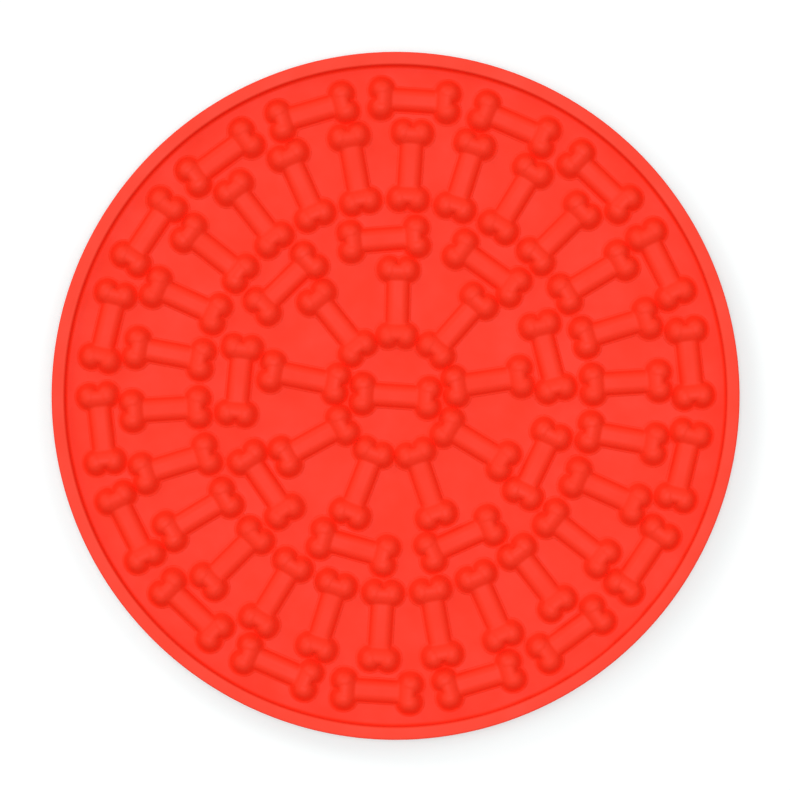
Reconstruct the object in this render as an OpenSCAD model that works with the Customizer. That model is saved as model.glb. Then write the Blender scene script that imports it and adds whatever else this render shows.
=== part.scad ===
// Round silicone lick mat: a floor sheet with a raised rim, rings of raised bones and suction cups below

/* [Sheet] */
// Thickness of the floor sheet
sheet_t = 2; // [1.2:0.1:4]
// Radius round the sheet's lower edge
sheet_round = 0.6; // [0.2:0.1:1]

/* [Rim] */
// Width of the raised rim
rim_w = 3.9; // [2.4:0.1:8]
// Height of the rim above the floor
rim_h = 3; // [1.5:0.1:8]
// Radius round the rim's upper edges
rim_round = 0.6; // [0.2:0.1:1]
// Clear floor between the outer bones and the rim
rim_margin = 3.4; // [1:0.05:20]

/* [Bones] */
// Length of a bone over its knobs
bone_len = 26.4; // [20:0.1:40]
// Radius of a knob where it meets the floor
knob_r = 3.4; // [2.8:0.1:4.6]
// Height of a knob above the floor
knob_h = 3.75; // [1.5:0.05:4]
// Distance of a knob's middle from the bone's long axis
knob_offset = 2.6; // [1.6:0.05:3]
// Radius of the bridge between the two knobs of a head
bridge_r = 2.75; // [1.8:0.05:3]
// Height of that bridge above the floor
bridge_h = 3.55; // [2.6:0.05:3.7]
// Distance by which the bridge lies nearer the bone's middle than the knobs do
bridge_in = 0.5; // [0.1:0.1:0.8]
// Width of the shaft where it meets the floor
shaft_w = 6.7; // [4.6:0.1:8.4]
// Height of the shaft above the floor
shaft_h = 2.1; // [1:0.1:2.3]

/* [Rings of bones] */
// Bones in the outer ring, which lie along it
outer_count = 18; // [6:1:18]
// Bones in the ring of spokes, which point at the middle
spoke_count = 26; // [8:1:28]
// Bones in the middle ring, which lie along it
middle_count = 9; // [4:1:10]
// Bones in the inner ring, which point at the middle
inner_count = 9; // [5:1:10]
// Turn of the middle ring from a bone at the top
middle_turn = 8; // [0:1:20]
// Turn of the inner ring from a bone at the top
inner_turn = 2.4; // [0:0.1:20]
// Gap between neighbouring bones of a ring that almost touch
touch_gap = 0.2; // [0.02:0.01:1]
// Gap between a ring of bones and what it lies close round
nest_gap = 0.35; // [0.1:0.05:2]
// Gap between the middle ring and the spokes
band_gap = 1.25; // [0.1:0.05:4]

/* [Suction cups] */
// Rings of cups round the centre cup
cup_rings = 3; // [1:1:3]
// Diameter over a cup's lip
cup_d = 16; // [12:0.5:20]
// Height of a cup from the ground to the sheet
cup_h = 4; // [3.6:0.1:7]
// Thickness of a cup's lip
lip_t = 0.6; // [0.3:0.1:0.8]
// Width of the flat ring under a lip
lip_w = 0.8; // [0.4:0.1:1.5]
// Diameter of a cup's neck
neck_d = 6; // [4:0.5:8]
// Height of a cup's neck
neck_h = 1; // [0.4:0.1:1.2]
// Depth of the hollow under a cup
hollow_h = 1.7; // [0.6:0.1:1.8]
// Clear edge of the sheet outside the cups
cup_margin = 8; // [2:0.5:20]

/* [Hidden] */
$fn = 96;
mat_red = [0.99, 0.27, 0.2];
// Cups that each further ring of cups gains
cups_gained = 6;
// Length by which cutting blocks pass what they cut
overrun = 1;

// Radius of the circle whose cap is this high and this wide at its foot
function cap_r(half_w, h) = (half_w * half_w + h * h) / (2 * h);

knob_x = bone_len / 2 - knob_r;
knob_ball_r = cap_r(knob_r, knob_h);
shaft_arc_r = cap_r(shaft_w / 2, shaft_h);

// Bones that lie along a ring: its radius when the knobs clear a circle inside it, or only their neighbours
function along_clear(inside_r) = sqrt(pow(inside_r + knob_r, 2) - pow(knob_x, 2)) + knob_offset;
function along_crowd(count) =
    (knob_r + touch_gap / 2 + knob_x * cos(180 / count)) / sin(180 / count) + knob_offset;
function along_reach(ring_r) = norm([ring_r + knob_offset, knob_x]) + knob_r;

// The same for bones that point at the middle
function spoke_clear(inside_r) = sqrt(pow(inside_r + knob_r, 2) - pow(knob_offset, 2)) + knob_x;
function spoke_crowd(count) =
    (knob_r + touch_gap / 2 + knob_offset * cos(180 / count)) / sin(180 / count) + knob_x;
function spoke_reach(ring_r) = norm([ring_r + knob_x, knob_offset]) + knob_r;

// Each ring lies as close round the one inside it as its gap and its own neighbours let it
centre_reach = norm([knob_x, knob_offset]) + knob_r;
inner_r = max(spoke_clear(centre_reach + nest_gap), spoke_crowd(inner_count));
middle_r = max(along_clear(spoke_reach(inner_r) + nest_gap), along_crowd(middle_count));
spoke_r = max(spoke_clear(along_reach(middle_r) + band_gap), spoke_crowd(spoke_count));
outer_r = max(along_clear(spoke_reach(spoke_r) + nest_gap), along_crowd(outer_count));
rim_inner_r = along_reach(outer_r) + rim_margin;
mat_r = rim_inner_r + rim_w;
floor_z = cup_h + sheet_t;

cup_r = cup_d / 2;
cup_pitch = (mat_r - cup_margin - cup_r) / cup_rings;
hollow_r = cup_r - lip_w;
hollow_ball_r = cap_r(hollow_r, hollow_h);

function numbered(name, i) = str(name, i < 10 ? "0" : "", i);

// Outline of a ring's section, from radius r_in to r_out, with its upper corners rounded
module rounded_section(r_in, r_out, h, corner) {
    translate([r_in, 0]) square([r_out - r_in, h - corner]);
    translate([r_in + corner, 0]) square([r_out - r_in - 2 * corner, h]);
    for (x = [r_in + corner, r_out - corner])
        translate([x, h - corner]) circle(r = corner);
}

module sheet() {
    color(mat_red)
    translate([0, 0, floor_z]) mirror([0, 0, 1])
    rotate_extrude() {
        square([mat_r, sheet_t - sheet_round]);
        square([mat_r - sheet_round, sheet_t]);
        translate([mat_r - sheet_round, sheet_t - sheet_round]) circle(r = sheet_round);
    }
}

module rim() {
    color(mat_red)
    translate([0, 0, floor_z])
    rotate_extrude() rounded_section(rim_inner_r, mat_r, rim_h, rim_round);
}

// Two round knobs side by side across the bone's axis, with a bridge that fills the dip between them
module bone_head() {
    for (side = [-1, 1])
        translate([0, side * knob_offset, knob_h - knob_ball_r]) sphere(r = knob_ball_r);
    translate([-bridge_in, 0, bridge_h - bridge_r]) rotate([90, 0, 0])
        cylinder(r = bridge_r, h = 2 * knob_offset, center = true);
}

// A bone along X, with its middle over the origin and its flat underside at height zero
module bone() {
    intersection() {
        union() {
            for (turn = [0, 180])
                rotate([0, 0, turn]) translate([knob_x, 0, 0]) bone_head();
            translate([0, 0, shaft_h - shaft_arc_r]) rotate([0, 90, 0])
                cylinder(r = shaft_arc_r, h = 2 * knob_x, center = true);
        }
        translate([-bone_len, -bone_len, 0]) cube([2 * bone_len, 2 * bone_len, knob_h + overrun]);
    }
}

// Bone number i of count in a ring, counted anticlockwise from the top, turned and lying along the ring or not
module ring_bone(i, count, ring_r, turn, along) {
    color(mat_red)
    rotate([0, 0, 90 + turn + (i - 1) * 360 / count])
    translate([ring_r, 0, floor_z])
    rotate([0, 0, along ? 90 : 0]) bone();
}

module outer_bone(i) {
    ring_bone(i, outer_count, outer_r, 0, true);
}

module spoke_bones() {
    for (i = [1:spoke_count])
        ring_bone(i, spoke_count, spoke_r, 0, false);
}

module middle_bone(i) {
    ring_bone(i, middle_count, middle_r, middle_turn, true);
}

module inner_bone(i) {
    ring_bone(i, inner_count, inner_r, inner_turn, false);
}

module centre_bone() {
    color(mat_red)
    translate([0, 0, floor_z]) bone();
}

// A cup on the ground at the origin: a thin lip, a cone that narrows to a neck, and a hollow below
module suction_cup() {
    difference() {
        union() {
            cylinder(r = cup_r, h = lip_t);
            translate([0, 0, lip_t]) cylinder(r1 = cup_r, r2 = neck_d / 2, h = cup_h - lip_t - neck_h);
            cylinder(r = neck_d / 2, h = cup_h);
        }
        translate([0, 0, hollow_h - hollow_ball_r]) sphere(r = hollow_ball_r);
    }
}

module centre_cup() {
    color(mat_red)
    suction_cup();
}

module cup_ring(i) {
    color(mat_red)
    for (k = [1:i * cups_gained])
        rotate([0, 0, k * 360 / (i * cups_gained)])
        translate([i * cup_pitch, 0, 0]) suction_cup();
}

sheet();
rim();
for (i = [1:outer_count])
    outer_bone(i);
spoke_bones();
for (i = [1:middle_count])
    middle_bone(i);
for (i = [1:inner_count])
    inner_bone(i);
centre_bone();
centre_cup();
for (i = [1:cup_rings])
    cup_ring(i);
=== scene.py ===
import math

import bmesh
import bpy
from mathutils import Matrix, Vector


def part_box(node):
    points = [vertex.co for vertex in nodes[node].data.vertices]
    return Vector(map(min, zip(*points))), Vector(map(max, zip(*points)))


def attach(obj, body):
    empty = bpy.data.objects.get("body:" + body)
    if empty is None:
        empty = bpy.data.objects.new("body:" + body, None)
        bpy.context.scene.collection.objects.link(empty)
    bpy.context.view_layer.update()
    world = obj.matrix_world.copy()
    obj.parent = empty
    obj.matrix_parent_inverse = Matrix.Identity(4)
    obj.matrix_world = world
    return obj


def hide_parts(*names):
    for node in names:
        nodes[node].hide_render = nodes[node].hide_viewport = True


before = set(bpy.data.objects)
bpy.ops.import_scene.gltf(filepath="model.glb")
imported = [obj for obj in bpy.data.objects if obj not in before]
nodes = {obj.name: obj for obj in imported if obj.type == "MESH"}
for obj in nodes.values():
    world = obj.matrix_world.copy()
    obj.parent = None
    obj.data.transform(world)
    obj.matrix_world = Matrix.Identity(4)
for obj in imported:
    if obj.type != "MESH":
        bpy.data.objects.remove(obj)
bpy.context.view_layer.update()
print("frame loaded:", len(nodes), "nodes")

mm = 0.001
mergeDistance = 0.001 * mm  # corners closer together than this become one
cutTolerance = 0.0001 * mm  # corners this close to a cutting plane count as on it
ringTolerance = 0.01 * mm  # corners this close to a ring count as on it

# sizes that the frame gives
sheetLow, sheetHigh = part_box("sheet")
cupLow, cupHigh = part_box("centre_cup")
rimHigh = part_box("rim")[1]
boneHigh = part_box("centre_bone")[1]
matRadius = rimHigh.x
floorHeight = sheetHigh.z


def meshFrom(bm, name):
    mesh = bpy.data.meshes.new(name)
    bm.to_mesh(mesh)
    bm.free()
    return mesh


def addObject(name, data):
    added = bpy.data.objects.new(name, data)
    bpy.context.scene.collection.objects.link(added)
    return added


def addPiece(name, mesh, material, standsFor):
    piece = addObject(name, mesh)
    mesh.materials.append(material)
    mesh.shade_smooth()
    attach(piece, "root")
    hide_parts(standsFor)


# spins an outline of (radius, height) points round the upright axis
def spinOutline(outline, steps, closed=True):
    bm = bmesh.new()
    verts = [bm.verts.new((r, 0, z)) for r, z in outline]
    pairs = list(zip(verts, verts[1:]))
    if closed:
        pairs.append((verts[-1], verts[0]))
    edges = [bm.edges.new(pair) for pair in pairs]
    bmesh.ops.spin(bm, geom=verts + edges, cent=(0, 0, 0), axis=(0, 0, 1),
                   angle=math.tau, steps=steps, use_merge=True)
    bmesh.ops.remove_doubles(bm, verts=bm.verts, dist=mergeDistance)
    bmesh.ops.recalc_face_normals(bm, faces=bm.faces)
    return bm


# rounds every ring edge that runs through the point (radius, height)
def roundRing(bm, radius, height, size, segments):
    def onRing(vert):
        aside = math.hypot(vert.co.x, vert.co.y) - radius
        return math.hypot(aside, vert.co.z - height) < ringTolerance
    ring = [e for e in bm.edges if all(onRing(v) for v in e.verts)]
    bmesh.ops.bevel(bm, geom=ring, offset=size, offset_type="OFFSET", affect="EDGES",
                    segments=segments, profile=0.5, material=-1, clamp_overlap=True)


# materials

def addSockets(group, direction, kind, names):
    for name in names:
        group.interface.new_socket(name=name, in_out=direction, socket_type=kind)


# adds a node that mixes two colours, and gives its factor, its two colours and its result
def addToneMix(tree):
    mix = tree.nodes.new("ShaderNodeMix")
    mix.data_type = "RGBA"
    return mix.inputs["Factor"], mix.inputs[6], mix.inputs[7], mix.outputs[2]


# slow drift of tone and gloss over a moulding
driftLook = {
    "toneDetail": 3,
    "glossDetail": 5,
    "glossPatches": 90,
    "glossFrom": 0.3,  # between these levels the noise goes from smooth to dull
    "glossTo": 0.7,
}


def makeToneDrift(s):
    group = bpy.data.node_groups.new("toneDrift", "ShaderNodeTree")
    addSockets(group, "INPUT", "NodeSocketColor", ("Light", "Deep"))
    addSockets(group, "INPUT", "NodeSocketFloat", ("Patch Size", "Smooth", "Dull"))
    addSockets(group, "OUTPUT", "NodeSocketColor", ("Color",))
    addSockets(group, "OUTPUT", "NodeSocketFloat", ("Roughness",))
    inside = group.nodes.new("NodeGroupInput")
    outside = group.nodes.new("NodeGroupOutput")
    place = group.nodes.new("ShaderNodeTexCoord")
    drift = group.nodes.new("ShaderNodeTexNoise")
    drift.inputs["Detail"].default_value = s["toneDetail"]
    bloom = group.nodes.new("ShaderNodeTexNoise")
    bloom.inputs["Detail"].default_value = s["glossDetail"]
    bloom.inputs["Scale"].default_value = s["glossPatches"]
    gloss = group.nodes.new("ShaderNodeMapRange")
    gloss.inputs["From Min"].default_value = s["glossFrom"]
    gloss.inputs["From Max"].default_value = s["glossTo"]
    factor, first, second, mixed = addToneMix(group)
    link = group.links.new
    link(place.outputs["Object"], drift.inputs["Vector"])
    link(inside.outputs["Patch Size"], drift.inputs["Scale"])
    link(drift.outputs["Fac"], factor)
    link(inside.outputs["Deep"], first)
    link(inside.outputs["Light"], second)
    link(mixed, outside.inputs["Color"])
    link(place.outputs["Object"], bloom.inputs["Vector"])
    link(bloom.outputs["Fac"], gloss.inputs["Value"])
    link(inside.outputs["Smooth"], gloss.inputs["To Min"])
    link(inside.outputs["Dull"], gloss.inputs["To Max"])
    link(gloss.outputs["Result"], outside.inputs["Roughness"])
    return group


# fine grain that the mould's blasted wall leaves on silicone
grainLook = {"detail": 4, "roughness": 0.6}


def makeMouldGrain(s):
    group = bpy.data.node_groups.new("mouldGrain", "ShaderNodeTree")
    addSockets(group, "INPUT", "NodeSocketFloat", ("Scale",))
    addSockets(group, "OUTPUT", "NodeSocketFloat", ("Height",))
    inside = group.nodes.new("NodeGroupInput")
    outside = group.nodes.new("NodeGroupOutput")
    place = group.nodes.new("ShaderNodeTexCoord")
    grain = group.nodes.new("ShaderNodeTexNoise")
    grain.inputs["Detail"].default_value = s["detail"]
    grain.inputs["Roughness"].default_value = s["roughness"]
    link = group.links.new
    link(place.outputs["Object"], grain.inputs["Vector"])
    link(inside.outputs["Scale"], grain.inputs["Scale"])
    link(grain.outputs["Fac"], outside.inputs["Height"])
    return group


toneDrift = makeToneDrift(driftLook)
mouldGrain = makeMouldGrain(grainLook)


def makeSilicone(name, look):
    material = bpy.data.materials.new(name)
    material.use_nodes = True
    tree = material.node_tree
    shader = tree.nodes["Principled BSDF"]
    shader.inputs["IOR"].default_value = look["ior"]
    shader.inputs["Specular IOR Level"].default_value = look["shine"]
    tone = tree.nodes.new("ShaderNodeGroup")
    tone.node_tree = toneDrift
    tone.inputs["Light"].default_value = look["light"] + (1,)
    tone.inputs["Deep"].default_value = look["deep"] + (1,)
    tone.inputs["Patch Size"].default_value = look["patches"]
    tone.inputs["Smooth"].default_value = look["smooth"]
    tone.inputs["Dull"].default_value = look["dull"]
    grain = tree.nodes.new("ShaderNodeGroup")
    grain.node_tree = mouldGrain
    grain.inputs["Scale"].default_value = look["grain"]
    bump = tree.nodes.new("ShaderNodeBump")
    bump.inputs["Strength"].default_value = 1
    bump.inputs["Distance"].default_value = look["grainDepth"]
    link = tree.links.new
    link(tone.outputs["Color"], shader.inputs["Base Color"])
    link(tone.outputs["Roughness"], shader.inputs["Roughness"])
    link(grain.outputs["Height"], bump.inputs["Height"])
    link(bump.outputs["Normal"], shader.inputs["Normal"])
    return material


siliconeLook = {
    "light": (0.930, 0.0322, 0.0090),
    "deep": (0.915, 0.0290, 0.0080),
    "patches": 35.0,
    "smooth": 0.5,  # roughness where it is smoothest
    "dull": 0.62,  # and where it is dullest
    "grain": 2600.0,
    "grainDepth": 0.004 * mm,
    "ior": 1.41,
    "shine": 0.3,
}
redSilicone = makeSilicone("redSilicone", siliconeLook)

# the rim's top is painted a touch paler than the rest, a painted highlight where the light falls
# on its flat top
rimPaintedHighlightLook = dict(siliconeLook, light=(0.915, 0.0450, 0.0190), deep=(0.900, 0.0420, 0.0175))
rimPaintedHighlightSilicone = makeSilicone("rimPaintedHighlightSilicone", rimPaintedHighlightLook)

# the cups come off polished steel, so they are smoother and have almost no grain
cupLook = dict(siliconeLook, smooth=0.3, dull=0.42, grain=1400.0, grainDepth=0.001 * mm)
cupSilicone = makeSilicone("cupSilicone", cupLook)
print("materials made")


# floor sheet, with its lower edge rounded and a fine bead where the mould halves met

sheetShape = {
    "steps": 256,
    "lowerRound": 0.6 * mm,
    "roundSteps": 6,
    "beadOut": 0.05 * mm,
    "beadHigh": 0.12 * mm,
    "sharp": math.radians(40),  # edges that turn more than this stay crisp
}


def makeSheet(s):
    top, low, bead = floorHeight, sheetLow.z, matRadius + s["beadOut"]
    outline = [(0, top), (bead, top), (bead, top - s["beadHigh"] / 2),
               (matRadius, top - s["beadHigh"]), (matRadius, low), (0, low)]
    bm = spinOutline(outline, s["steps"], closed=False)
    roundRing(bm, matRadius, low, s["lowerRound"], s["roundSteps"])
    mesh = meshFrom(bm, "floorSheet")
    mesh.set_sharp_from_angle(angle=s["sharp"])
    addPiece("floor_sheet", mesh, redSilicone, "sheet")


# rim, drafted and filleted at its inner foot, rounded at both upper edges

rimShape = {
    "steps": 256,
    "upperRound": 0.5 * mm,
    "foot": 0.9 * mm,  # radius of the fillet at the inner foot
    "footReach": 1.05,  # how far the foot runs in over the floor, in such radii
    "footLift": 0.01 * mm,
    "draft": 0.2 * mm,
    "roundSteps": 8,
    "sharp": math.radians(40),
}


def makeRim(s):
    inner, top, lift = matRadius - rimWidth, rimHigh.z, floorHeight + s["footLift"]
    bead, beadHigh = matRadius + sheetShape["beadOut"], sheetShape["beadHigh"]
    footEnd = inner - s["foot"] * s["footReach"]
    outline = [(footEnd, floorHeight), (footEnd, lift), (inner, lift),
               (inner + s["draft"], top), (matRadius, top), (matRadius, floorHeight + beadHigh),
               (bead, floorHeight + beadHigh / 2), (bead, floorHeight)]
    bm = spinOutline(outline, s["steps"])
    roundRing(bm, inner, lift, s["foot"], s["roundSteps"])
    roundRing(bm, inner + s["draft"], top, s["upperRound"], s["roundSteps"])
    roundRing(bm, matRadius, top, s["upperRound"], s["roundSteps"])
    mesh = meshFrom(bm, "rimBand")
    mesh.set_sharp_from_angle(angle=s["sharp"])
    addPiece("rim_band", mesh, redSilicone, "rim")
    # the faces along the rim's top take the paler material, the painted highlight
    mesh.materials.append(rimPaintedHighlightSilicone)
    for face in mesh.polygons:
        face.material_index = int(face.center.z > top - s["upperRound"])


# the rim's inner radius is where its CAD node has its innermost corner
rimWidth = matRadius - min(math.hypot(v.co.x, v.co.y) for v in nodes["rim"].data.vertices)
makeSheet(sheetShape)
makeRim(rimShape)
print("sheet and rim made, rim", round(rimWidth / mm, 2), "mm wide")


# bones

boneShape = {
    "knobX": 9.62 * mm,
    "knobLong": 0.44 * mm,  # how far a knob is drawn out along the bone
    "knobOffset": 2.6 * mm,
    "knobHeight": 3.75 * mm,
    "knobRadius": 2.85 * mm,
    "knobSlope": math.radians(60),  # of the cone under its ball
    "knobSunk": 0.5 * mm,
    "bridgeX": 9.5 * mm,
    "bridgeHeight": 3.55 * mm,
    "bridgeInner": 3.75 * mm,  # its radius on the shaft's side
    "bridgeOuter": 1.8 * mm,  # its radius on the outer side, where it leaves the notch
    "shaftWidth": 6.7 * mm,
    "shaftHeight": 2.1 * mm,
    "shaftShoulder": 2.45 * mm,  # radius along both sides of its top
    "ballSteps": 64,
    "rodSteps": 96,
    "slabMargin": 4 * mm,  # the slab stands for the floor while the skin is made
    "slabDeep": 10 * mm,
    "voxel": 0.3 * mm,
    "softenBy": 0.5,
    "soften": 2,
    "footHigh": 1.2 * mm,  # how far above and below the floor the foot is softened
    "footSoften": 5,
    "cut": 0.03 * mm,  # where the foot's fillet ends
}


# a ball on a cone that meets it smoothly and runs down past the floor
def addKnob(bm, s, x, y):
    ball, slope = s["knobRadius"], s["knobSlope"]
    middle = s["knobHeight"] - ball
    neckRadius, neckHeight = ball * math.sin(slope), middle + ball * math.cos(slope)
    bmesh.ops.create_uvsphere(bm, u_segments=s["ballSteps"], v_segments=s["ballSteps"] // 2,
                              radius=ball, matrix=Matrix.Translation((x, y, middle)))
    depth = neckHeight + s["knobSunk"]
    place = Matrix.Translation((x, y, neckHeight - depth / 2))
    bmesh.ops.create_cone(bm, cap_ends=True, segments=s["rodSteps"],
                          radius1=neckRadius + depth / math.tan(slope), radius2=neckRadius,
                          depth=depth, matrix=place)


def addRod(bm, s, radius, length, place):
    made = bmesh.ops.create_cone(bm, cap_ends=True, segments=s["rodSteps"], radius1=radius,
                                 radius2=radius, depth=length, matrix=place)
    return made["verts"]


# half of a rod across the bone, the half that faces the way of outwards
def addHalfBridge(bm, s, end, radius, outwards):
    x = end * s["bridgeX"]
    place = Matrix.Translation((x, 0, s["bridgeHeight"] - radius))
    made = addRod(bm, s, radius, 2 * s["knobOffset"], place @ Matrix.Rotation(math.pi / 2, 4, "X"))
    edges = {e for v in made for e in v.link_edges}
    faces = {f for v in made for f in v.link_faces}
    cut = bmesh.ops.bisect_plane(bm, geom=made + list(edges) + list(faces), dist=cutTolerance,
                                 plane_co=(x, 0, 0), plane_no=(end * outwards, 0, 0),
                                 clear_inner=True)
    cutEdges = [e for e in cut["geom_cut"] if isinstance(e, bmesh.types.BMEdge)]
    bmesh.ops.holes_fill(bm, edges=cutEdges, sides=0)


# knobs, bridges, shaft and a slab below the floor, which overlap until the skin joins them
def makeRoughBone(s):
    bm = bmesh.new()
    knobX, shoulder = s["knobX"], s["shaftShoulder"]
    for end in (-1, 1):
        for side in (-1, 1):
            for shift in (-0.5, 0.5):
                addKnob(bm, s, end * (knobX + shift * s["knobLong"]), side * s["knobOffset"])
        addHalfBridge(bm, s, end, s["bridgeInner"], -1)
        addHalfBridge(bm, s, end, s["bridgeOuter"], 1)
    middle = s["shaftHeight"] - shoulder
    aside = s["shaftWidth"] / 2 - math.sqrt(shoulder ** 2 - middle ** 2)
    for side in (-1, 1):
        place = Matrix.Translation((0, side * aside, middle))
        addRod(bm, s, shoulder, 2 * knobX, place @ Matrix.Rotation(math.pi / 2, 4, "Y"))
    place = Matrix.Diagonal((2 * knobX, 2 * aside, 2 * s["shaftHeight"], 1))
    bmesh.ops.create_cube(bm, size=1, matrix=place)
    margin = s["slabMargin"]
    slab = Vector((boneHigh.x * 2 + margin, boneHigh.y * 2 + margin, s["slabDeep"]))
    place = Matrix.Translation((0, 0, -slab.z / 2)) @ Matrix.Diagonal(slab.to_4d())
    bmesh.ops.create_cube(bm, size=1, matrix=place)
    return addObject("boneRough", meshFrom(bm, "boneRough"))


# one bone along X with its foot at height zero, blended softly into the floor round it
def makeBoneMesh(s):
    rough = makeRoughBone(s)
    skin = rough.modifiers.new("skin", "REMESH")
    skin.mode = "VOXEL"
    skin.voxel_size = s["voxel"]
    soften = rough.modifiers.new("soften", "SMOOTH")
    soften.factor = s["softenBy"]
    soften.iterations = s["soften"]
    graph = bpy.context.evaluated_depsgraph_get()
    bm = bmesh.new()
    bm.from_mesh(rough.evaluated_get(graph).to_mesh())
    bpy.data.objects.remove(rough)
    for _ in range(s["footSoften"]):
        foot = [v for v in bm.verts if -s["footHigh"] < v.co.z < s["footHigh"]]
        bmesh.ops.smooth_vert(bm, verts=foot, factor=s["softenBy"],
                              use_axis_x=False, use_axis_y=False, use_axis_z=True)
    bmesh.ops.bisect_plane(bm, geom=bm.verts[:] + bm.edges[:] + bm.faces[:], dist=cutTolerance,
                           plane_co=(0, 0, s["cut"]), plane_no=(0, 0, 1), clear_inner=True)
    skirt = bmesh.ops.extrude_edge_only(bm, edges=[e for e in bm.edges if e.is_boundary])
    for vert in [g for g in skirt["geom"] if isinstance(g, bmesh.types.BMVert)]:
        vert.co.z = 0
    bmesh.ops.holes_fill(bm, edges=[e for e in bm.edges if e.is_boundary], sides=0)
    bmesh.ops.recalc_face_normals(bm, faces=bm.faces)
    print("bone:", len(bm.faces), "faces")
    return meshFrom(bm, "bone")


# centres of a node's separate solids, from its own loose shells
def solidCentres(nodeName):
    bm = bmesh.new()
    bm.from_mesh(nodes[nodeName].data)
    bmesh.ops.remove_doubles(bm, verts=bm.verts, dist=mergeDistance)
    left, centres = set(bm.verts), []
    while left:
        found, toDo = set(), [left.pop()]
        while toDo:
            vert = toDo.pop()
            found.add(vert)
            for edge in vert.link_edges:
                other = edge.other_vert(vert)
                if other in left:
                    left.discard(other)
                    toDo.append(other)
        low = Vector(map(min, *(v.co for v in found)))
        high = Vector(map(max, *(v.co for v in found)))
        centres.append((low + high) / 2)
    bm.free()
    return sorted(centres, key=lambda c: math.atan2(c.y, c.x))


# a bone lies along its ring or points at the middle, and the one in the middle isn't turned
def placeBone(name, centre, along, standsFor):
    turn = math.atan2(centre.y, centre.x) + (math.pi / 2 if along else 0)
    if centre.xy.length < mm:
        turn = 0
    mesh = boneMesh.copy()
    place = Matrix.Translation((centre.x, centre.y, floorHeight))
    mesh.transform(place @ Matrix.Rotation(turn, 4, "Z"))
    addPiece(name, mesh, redSilicone, standsFor)


boneMesh = makeBoneMesh(boneShape)
for nodeName in sorted(nodes):
    if nodeName.startswith(("outer_bone", "middle_bone", "inner_bone", "centre_bone")):
        low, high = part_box(nodeName)
        along = nodeName.startswith(("outer", "middle"))
        placeBone("moulded_" + nodeName, (low + high) / 2, along, nodeName)
for number, centre in enumerate(solidCentres("spoke_bones"), 1):
    placeBone(f"moulded_spoke_bone_{number:02d}", centre, False, "spoke_bones")
print("bones placed")


# suction cups, each with a beaded lip, a concave skirt and a neck that flares into the sheet

cupShape = {
    "steps": 72,
    "lipBead": 0.3 * mm,
    "skirt": 1.4 * mm,  # height of the point that the skirt sags towards
    "sagOut": 1.6 * mm,  # and how far it lies outside the neck
    "neckRadius": 3.0 * mm,
    "waist": 2.9 * mm,  # height at which the skirt meets the neck
    "neckFoot": 1.0 * mm,
    "hollow": 1.7 * mm,
    "hollowRadius": 7.2 * mm,
    "pipRadius": 0.5 * mm,
    "pipDeep": 0.25 * mm,
    "hollowSteps": 10,
    "beadSteps": 6,
    "skirtSteps": 10,
    "neckSteps": 5,
    "sharp": math.radians(50),
}


# radius of the ball whose cap is this high and this wide at its foot
def capRadius(halfWidth, height):
    return (halfWidth ** 2 + height ** 2) / (2 * height)


# the outline runs from the pip out under the lip, and back in over the skirt and up the neck
def makeCupMesh(s):
    lipRadius, top = (cupHigh.x - cupLow.x) / 2, cupHigh.z
    ball = capRadius(s["hollowRadius"], s["hollow"])
    outline = [(0, s["hollow"] - s["pipDeep"])]
    for step in range(s["hollowSteps"] + 1):
        r = s["pipRadius"] + (s["hollowRadius"] - s["pipRadius"]) * step / s["hollowSteps"]
        outline.append((r, s["hollow"] - ball + math.sqrt(ball ** 2 - r ** 2)))
    bead = s["lipBead"]
    for step in range(s["beadSteps"] + 1):
        turn = math.pi * (step / s["beadSteps"] - 0.5)
        outline.append((lipRadius - bead + bead * math.cos(turn), bead * (1 + math.sin(turn))))
    start = Vector(outline[-1])
    end = Vector((s["neckRadius"], s["waist"]))
    sag = Vector((s["neckRadius"] + s["sagOut"], s["skirt"]))
    for step in range(1, s["skirtSteps"] + 1):
        t = step / s["skirtSteps"]
        outline.append(tuple(start * (1 - t) ** 2 + sag * (2 * t * (1 - t)) + end * t ** 2))
    for step in range(s["neckSteps"] + 1):
        turn = math.pi / 2 * step / s["neckSteps"]
        outline.append((s["neckRadius"] + s["neckFoot"] * (1 - math.cos(turn)),
                        top - s["neckFoot"] * (1 - math.sin(turn))))
    outline.append((0, top))
    mesh = meshFrom(spinOutline(outline, s["steps"], closed=False), "cup")
    mesh.set_sharp_from_angle(angle=s["sharp"])
    return mesh


def placeCup(name, centre, standsFor):
    mesh = cupMesh.copy()
    mesh.transform(Matrix.Translation((centre.x, centre.y, 0)))
    addPiece(name, mesh, cupSilicone, standsFor)


cupMesh = makeCupMesh(cupShape)
for nodeName in sorted(n for n in nodes if "cup" in n):
    for number, centre in enumerate(solidCentres(nodeName), 1):
        placeCup(f"{nodeName}_piece_{number:02d}", centre, nodeName)
print("cups placed:", len(cupMesh.polygons), "faces each")


# camera, straight above, with the mat's outline as big and in the same place as in the picture

view = {
    "distance": 850 * mm,
    "roll": math.radians(3.63),
    "outlinePixels": 344.04,
    "picturePixels": 790,
    "outlineHeight": 8.4 * mm,  # of the edge that makes the outline
    "centrePixels": (395.1, 395.35),
    "nearest": 0.01,
    "furthest": 10,
}


def makeCamera(s):
    camera = bpy.data.cameras.new("camera")
    holder = addObject("camera", camera)
    bpy.context.scene.camera = holder
    half = s["picturePixels"] / 2
    depth = s["distance"] - s["outlineHeight"]
    camera.lens = camera.sensor_width / 2 * depth * s["outlinePixels"] / (half * matRadius)
    step = matRadius / s["outlinePixels"]
    middle = (s["picturePixels"] - 1) / 2
    across, down = s["centrePixels"]
    aside = Vector(((middle - across) * step, (down - middle) * step, 0))
    aside.rotate(Matrix.Rotation(s["roll"], 3, "Z"))
    holder.location = aside + Vector((0, 0, s["distance"]))
    holder.rotation_euler = (0, 0, s["roll"])
    camera.clip_start = s["nearest"]
    camera.clip_end = s["furthest"]


# table

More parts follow.
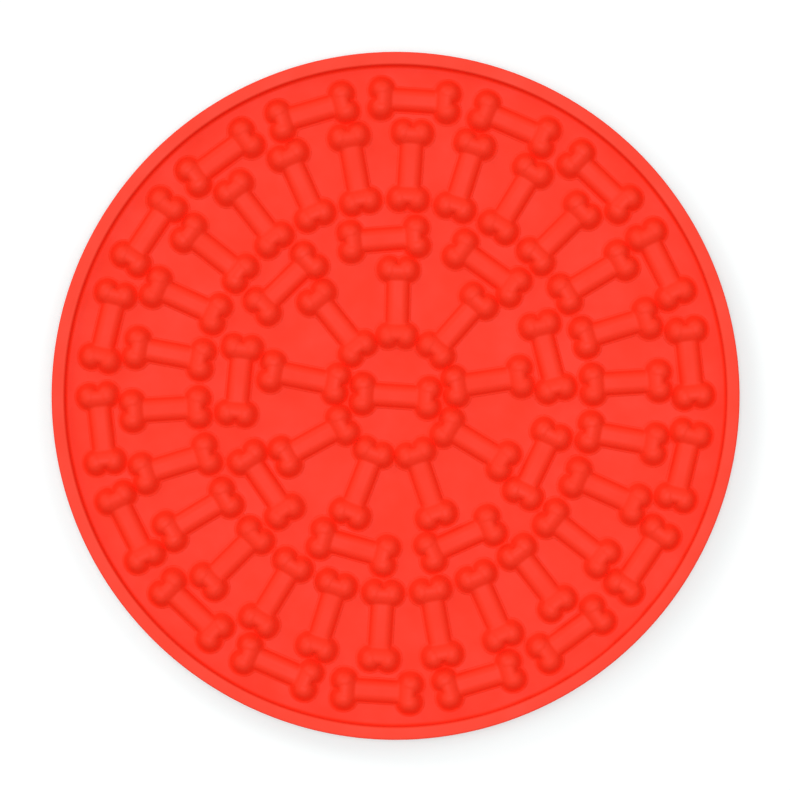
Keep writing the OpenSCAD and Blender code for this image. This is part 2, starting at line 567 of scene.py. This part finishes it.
stage = {
    "size": 3.0,
    "tone": (0.87, 0.95, 0.95, 1),
    "roughness": 0.9,
    "shine": 0.1,
    # each level goes from near to far between two distances from the mat's edge
    # the cyan glow lifts green and blue evenly outside the mat and fades to none under it; the red
    # glow is none at the mat's edge and rises away from it, painted shade in red that keeps the
    # shadow round the mat grey
    "cool": {"color": (0, 1, 1, 1), "near": 0, "far": 0.1, "from": -12 * mm, "to": 0},
    "paintedShadeRedRamp": {"color": (1, 0, 0, 1), "near": 0, "far": 0.13, "from": 0, "to": 12 * mm},
    # under the mat the table is painted dark grey, a painted shadow, and is clear to shadow rays
    # so the lamp below reaches the cups
    "paintedShadowWindow": {"tone": (0.2, 0.2, 0.2, 1), "near": 1, "far": 0, "from": -16 * mm, "to": -4 * mm},
}


def combine(tree, operation, first, second):
    node = tree.nodes.new("ShaderNodeMath")
    node.operation = operation
    tree.links.new(first, node.inputs[0])
    tree.links.new(second, node.inputs[1])
    return node.outputs[0]


# 1 on the rays that come from the camera, a gloss or a clear surface, 0 on those that light things
def seenRays(tree):
    rays = tree.nodes.new("ShaderNodeLightPath")
    total = rays.outputs["Is Camera Ray"]
    for kind in ("Is Glossy Ray", "Is Transmission Ray"):
        total = combine(tree, "MAXIMUM", total, rays.outputs[kind])
    return total


# the table's tone and its glows paint the colour of the shadow round the mat: they take out the
# red light that the mat throws there, and make white further out; it is clear from below, and
# under the mat it is painted dark, a painted shadow, and lets the lamp below light the cups
def makeTableMaterial(s):
    material = bpy.data.materials.new("whiteFloor")
    material.use_nodes = True
    material.cycles.emission_sampling = "NONE"
    tree = material.node_tree
    link = tree.links.new
    shader = tree.nodes["Principled BSDF"]
    shader.inputs["Roughness"].default_value = s["roughness"]
    shader.inputs["Specular IOR Level"].default_value = s["shine"]
    place = tree.nodes.new("ShaderNodeTexCoord")
    away = tree.nodes.new("ShaderNodeVectorMath")
    away.operation = "LENGTH"
    link(place.outputs["Object"], away.inputs[0])

    def ringLevel(ring):
        level = tree.nodes.new("ShaderNodeMapRange")
        level.inputs["From Min"].default_value = matRadius + ring["from"]
        level.inputs["From Max"].default_value = matRadius + ring["to"]
        level.inputs["To Min"].default_value = ring["near"]
        level.inputs["To Max"].default_value = ring["far"]
        link(away.outputs["Value"], level.inputs["Value"])
        return level.outputs["Result"]

    # painted shadow: the table's tone turns dark grey under the mat
    paintedShadowWindow = ringLevel(s["paintedShadowWindow"])
    factor, first, second, mixed = addToneMix(tree)
    first.default_value = s["tone"]
    second.default_value = s["paintedShadowWindow"]["tone"]
    link(paintedShadowWindow, factor)
    link(mixed, shader.inputs["Base Color"])

    seen = seenRays(tree)
    surface = shader.outputs[0]
    # glows seen only by camera, gloss and clear rays; the red one paints shade in red near the mat
    for ring in (s["cool"], s["paintedShadeRedRamp"]):
        glow = tree.nodes.new("ShaderNodeEmission")
        glow.inputs["Color"].default_value = ring["color"]
        link(combine(tree, "MULTIPLY", seen, ringLevel(ring)), glow.inputs["Strength"])
        added = tree.nodes.new("ShaderNodeAddShader")
        link(surface, added.inputs[0])
        link(glow.outputs[0], added.inputs[1])
        surface = added.outputs[0]

    side = tree.nodes.new("ShaderNodeNewGeometry")
    rays = tree.nodes.new("ShaderNodeLightPath")
    opened = combine(tree, "MULTIPLY", rays.outputs["Is Shadow Ray"], paintedShadowWindow)
    clear = tree.nodes.new("ShaderNodeBsdfTransparent")
    either = tree.nodes.new("ShaderNodeMixShader")
    link(combine(tree, "MAXIMUM", side.outputs["Backfacing"], opened), either.inputs[0])
    link(surface, either.inputs[1])
    link(clear.outputs[0], either.inputs[2])
    link(either.outputs[0], tree.nodes["Material Output"].inputs["Surface"])
    return material


def makeFloor(s):
    bm = bmesh.new()
    bmesh.ops.create_grid(bm, x_segments=1, y_segments=1, size=s["size"])
    plate = addObject("white_floor", meshFrom(bm, "whiteFloor"))
    plate.data.materials.append(makeTableMaterial(s))


# lamps and world

light = {
    "sky": 0.43,
    "backdrop": 1.0,  # the world as it is seen, behind the table's edge
    "lamps": {
        "top": {"power": 1.36, "softness": 30, "from": 0, "height": 90},
        "back": {"power": 0.60, "softness": 30, "from": 135, "height": 27},
        "right": {"power": 0.28, "softness": 30, "from": 45, "height": 45},
        "left": {"power": 0.27, "softness": 30, "from": 180, "height": 45},
        "below": {"power": 2.6, "softness": 30, "from": 120, "height": -50},
    },
}


def makeLamp(name, s):
    lamp = bpy.data.lights.new(name, "SUN")
    lamp.energy = s["power"]
    lamp.angle = math.radians(s["softness"])
    around, up = math.radians(s["from"]), math.radians(s["height"])
    towards = Vector((math.cos(around) * math.cos(up),
                      math.sin(around) * math.cos(up),
                      math.sin(up)))
    addObject(name, lamp).rotation_euler = towards.to_track_quat("Z", "Y").to_euler()


def makeLight(s):
    world = bpy.data.worlds.new("studio")
    bpy.context.scene.world = world
    world.use_nodes = True
    tree = world.node_tree
    sky = tree.nodes["Background"]
    sky.inputs["Color"].default_value = (1, 1, 1, 1)
    level = tree.nodes.new("ShaderNodeMapRange")
    level.inputs["To Min"].default_value = s["sky"]
    level.inputs["To Max"].default_value = s["backdrop"]
    tree.links.new(seenRays(tree), level.inputs["Value"])
    tree.links.new(level.outputs["Result"], sky.inputs["Strength"])
    for name, lampLook in s["lamps"].items():
        makeLamp(name + "Light", lampLook)


makeCamera(view)
makeFloor(stage)
makeLight(light)
bpy.context.scene.view_settings.view_transform = "Standard"
print("stage set")
